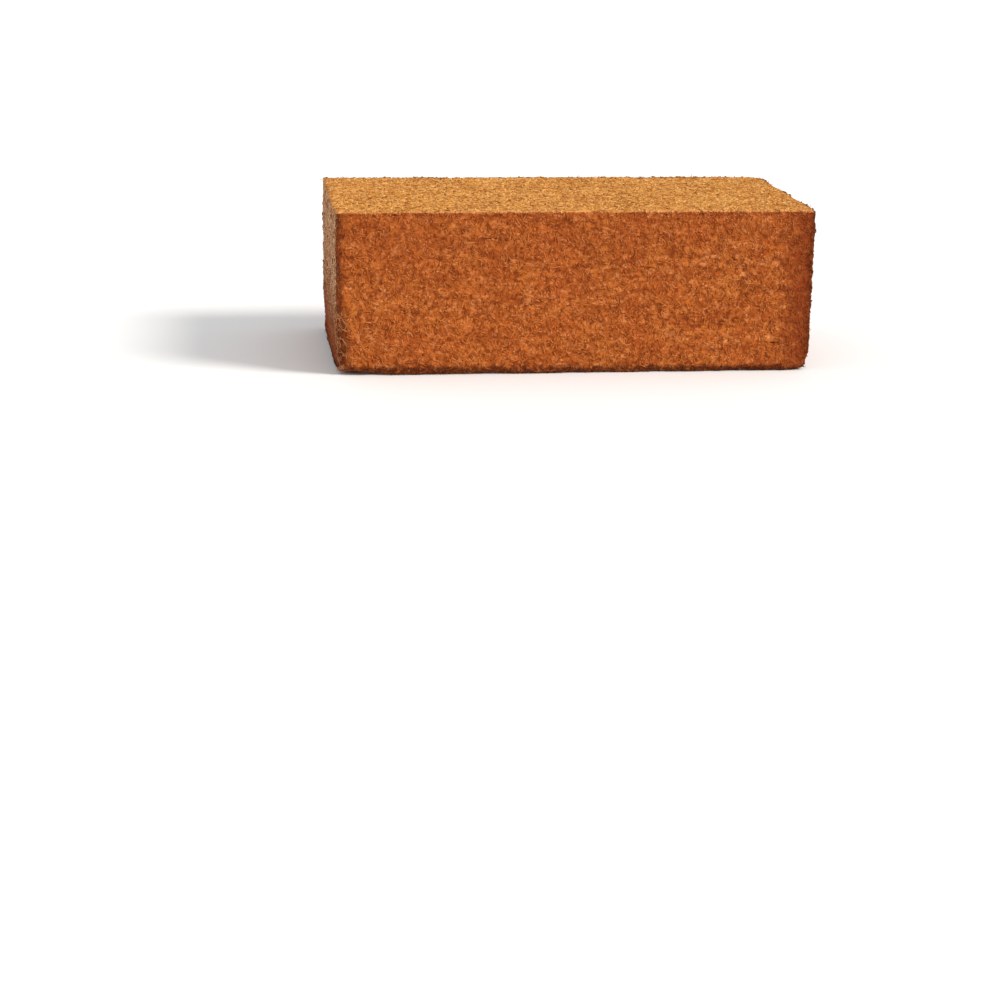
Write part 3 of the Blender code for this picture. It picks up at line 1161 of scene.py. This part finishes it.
def fibre_material():
    material, tree, shader = new_material("coir_fibre", FIBRE_ROUGH, FIBRE_SPECULAR)
    place, grain, wear_and_light = shared_patterns(tree, FIBRE_GRAIN)
    tint = attribute(tree, "tint")
    light, pale = span(tree, tint, 0.0, 0.40), span(tree, tint, 0.55, 1.0)
    orange = mix(tree, wear_and_light["Blotches"], ORANGE_BROWN, YELLOWER_BROWN)
    wall = mix(tree, light, RUST, orange)
    wall = mix(tree, times(tree, pale, WALL_FIBRES_PALE), wall, PALE_FLECK)
    top = mix(tree, pale, mix(tree, light, GOLD_SHADE, GOLD), GOLD_FLECK)
    colour = block_colour(tree, wall, top, lies_on_top(tree, place), wear_and_light)
    # Painted shade from the pattern of the gaps between the grains
    colour = mix(tree, times(tree, grain["Shaded Gaps"], FIBRE_GAP_SHADE_DARK), colour, PAINTED_SHADE_BROWN)
    colour = mix(tree, span(tree, tint, 1.1, 1.4), colour, FRAYED_PALE)
    tree.links.new(colour, shader.inputs["Base Color"])
    return material


coir_fibre = fibre_material()
fibrous = (*fibre_pieces.values(), hairs, frayed)
for piece in fibrous:
    piece.data.materials.append(coir_fibre)
print(len(fibrous), "pieces are finished with", coir_fibre.name)

# %% [markdown]
# ## The crumbs' material
#
# Crumbs are pith without fibre: on the walls they go from the dark brown of broken grains to
# orange brown, and on the top most are golden, with dark specks that give the top its grain.

# %% Crumb
CRUMB_GRAIN = 0.7
CRUMB_ROUGH = 0.95
WALL_CRUMBS_PALE, TOP_CRUMBS_PALE, CRUMB_GAP_SHADE_DARK = 0.55, 0.8, 0.6


def crumb_material():
    material, tree, shader = new_material("pith_crumb", CRUMB_ROUGH, DULL)
    place, grain, wear_and_light = shared_patterns(tree, CRUMB_GRAIN)
    tint = attribute(tree, "tint")
    wall = mix(tree, span(tree, tint, 0.0, 0.45), CRUMB_BROWN, ORANGE_BROWN)
    wall = mix(tree, times(tree, span(tree, tint, 0.5, 1.0), WALL_CRUMBS_PALE), wall, PALE_FLECK)
    top = mix(tree, span(tree, tint, 0.05, 0.32), TOP_SPECK, GOLD)
    top = mix(tree, times(tree, span(tree, tint, 0.6, 1.0), TOP_CRUMBS_PALE), top, GOLD_FLECK)
    colour = block_colour(tree, wall, top, lies_on_top(tree, place), wear_and_light)
    # Painted shade from the pattern of the gaps between the grains
    colour = mix(tree, times(tree, grain["Shaded Gaps"], CRUMB_GAP_SHADE_DARK), colour, PAINTED_SHADE_BROWN)
    tree.links.new(colour, shader.inputs["Base Color"])
    return material


crumb_piece.data.materials.append(crumb_material())
print("The crumbs are finished with", crumb_piece.data.materials[0].name)

# %% [markdown]
# ## Floor, light and camera
#
# The block stands on a wide pale floor. The floor lies a tenth of a millimetre below the base,
# because two flat surfaces at one height would show through each other.

# %% The floor
FLOOR_SIZE = 30.0
FLOOR_GAP = 0.1 * MM
FLOOR_COLOUR = (0.86, 0.86, 0.85, 1)
FLOOR_ROUGH, FLOOR_SPECULAR = 0.9, 0.1
floor_bm = bmesh.new()
floor_place = Matrix.Translation((0, 0, -FLOOR_GAP))
bmesh.ops.create_grid(floor_bm, x_segments=1, y_segments=1, size=FLOOR_SIZE / 2, matrix=floor_place)
floor_mesh = bpy.data.meshes.new("floor")
floor_bm.to_mesh(floor_mesh)
floor_bm.free()
floor = bpy.data.objects.new("floor", floor_mesh)
bpy.context.scene.collection.objects.link(floor)
floor_material, _, floor_shader = new_material("pale_floor", FLOOR_ROUGH, FLOOR_SPECULAR)
floor_shader.inputs["Base Color"].default_value = FLOOR_COLOUR
floor_mesh.materials.append(floor_material)
print("The floor is", FLOOR_SIZE, "m wide")

# %% [markdown]
# A white sky lights the block from all round. One broad sun from the right and front rakes along
# the front wall, so that each grain and fibre throws a small, soft shadow.

# %% The light
SKY_STRENGTH = 0.78
SUN_STRENGTH = 2.9
SUN_SOFTNESS = radians(20)
SUN_FROM = Vector((0.72, -0.36, 0.62))
SKY_COLOUR, SUN_COLOUR = (0.97, 0.98, 1.0, 1), (1.0, 0.97, 0.92)

world = bpy.data.worlds.new("white_sky")
world.use_nodes = True
sky = world.node_tree.nodes["Background"]
sky.inputs["Color"].default_value = SKY_COLOUR
sky.inputs["Strength"].default_value = SKY_STRENGTH
bpy.context.scene.world = world

sun_data = bpy.data.lights.new("sun", "SUN")
sun_data.energy = SUN_STRENGTH
sun_data.angle = SUN_SOFTNESS
sun_data.color = SUN_COLOUR
sun = bpy.data.objects.new("sun", sun_data)
sun.rotation_euler = SUN_FROM.to_track_quat("Z", "Y").to_euler()
bpy.context.scene.collection.objects.link(sun)
print("The sun stands", round(90 - SUN_FROM.angle(Vector((0, 0, 1))) * 180 / pi), "degrees high")

# %% [markdown]
# The camera looks slightly down at the front wall and a little from the left, with a long lens
# that keeps the edges nearly parallel. Its place, turn and lens were fitted to the corners of
# the real block in its photograph, so that both can be compared point by point.

# %% The camera
CAMERA_PLACE = Vector((-0.1461, -0.9329, 0.2065))
CAMERA_HEADING, CAMERA_PITCH, CAMERA_ROLL = radians(-7.446), radians(16.347), radians(0.929)
LENS, SENSOR = 78.8, 36.0
NEAREST_SEEN = 0.01

camera_data = bpy.data.cameras.new("camera")
camera_data.lens = LENS
camera_data.sensor_width = SENSOR
camera_data.clip_start = NEAREST_SEEN
camera = bpy.data.objects.new("camera", camera_data)
bpy.context.scene.collection.objects.link(camera)
turn = Matrix.Rotation(CAMERA_HEADING, 4, "Z") @ Matrix.Rotation(pi / 2 - CAMERA_PITCH, 4, "X")
camera.matrix_world = Matrix.Translation(CAMERA_PLACE) @ turn @ Matrix.Rotation(CAMERA_ROLL, 4, "Z")
bpy.context.scene.camera = camera
bpy.context.scene.view_settings.view_transform = "Standard"
print("The camera is", round(CAMERA_PLACE.length, 2), "m from the middle of the base")
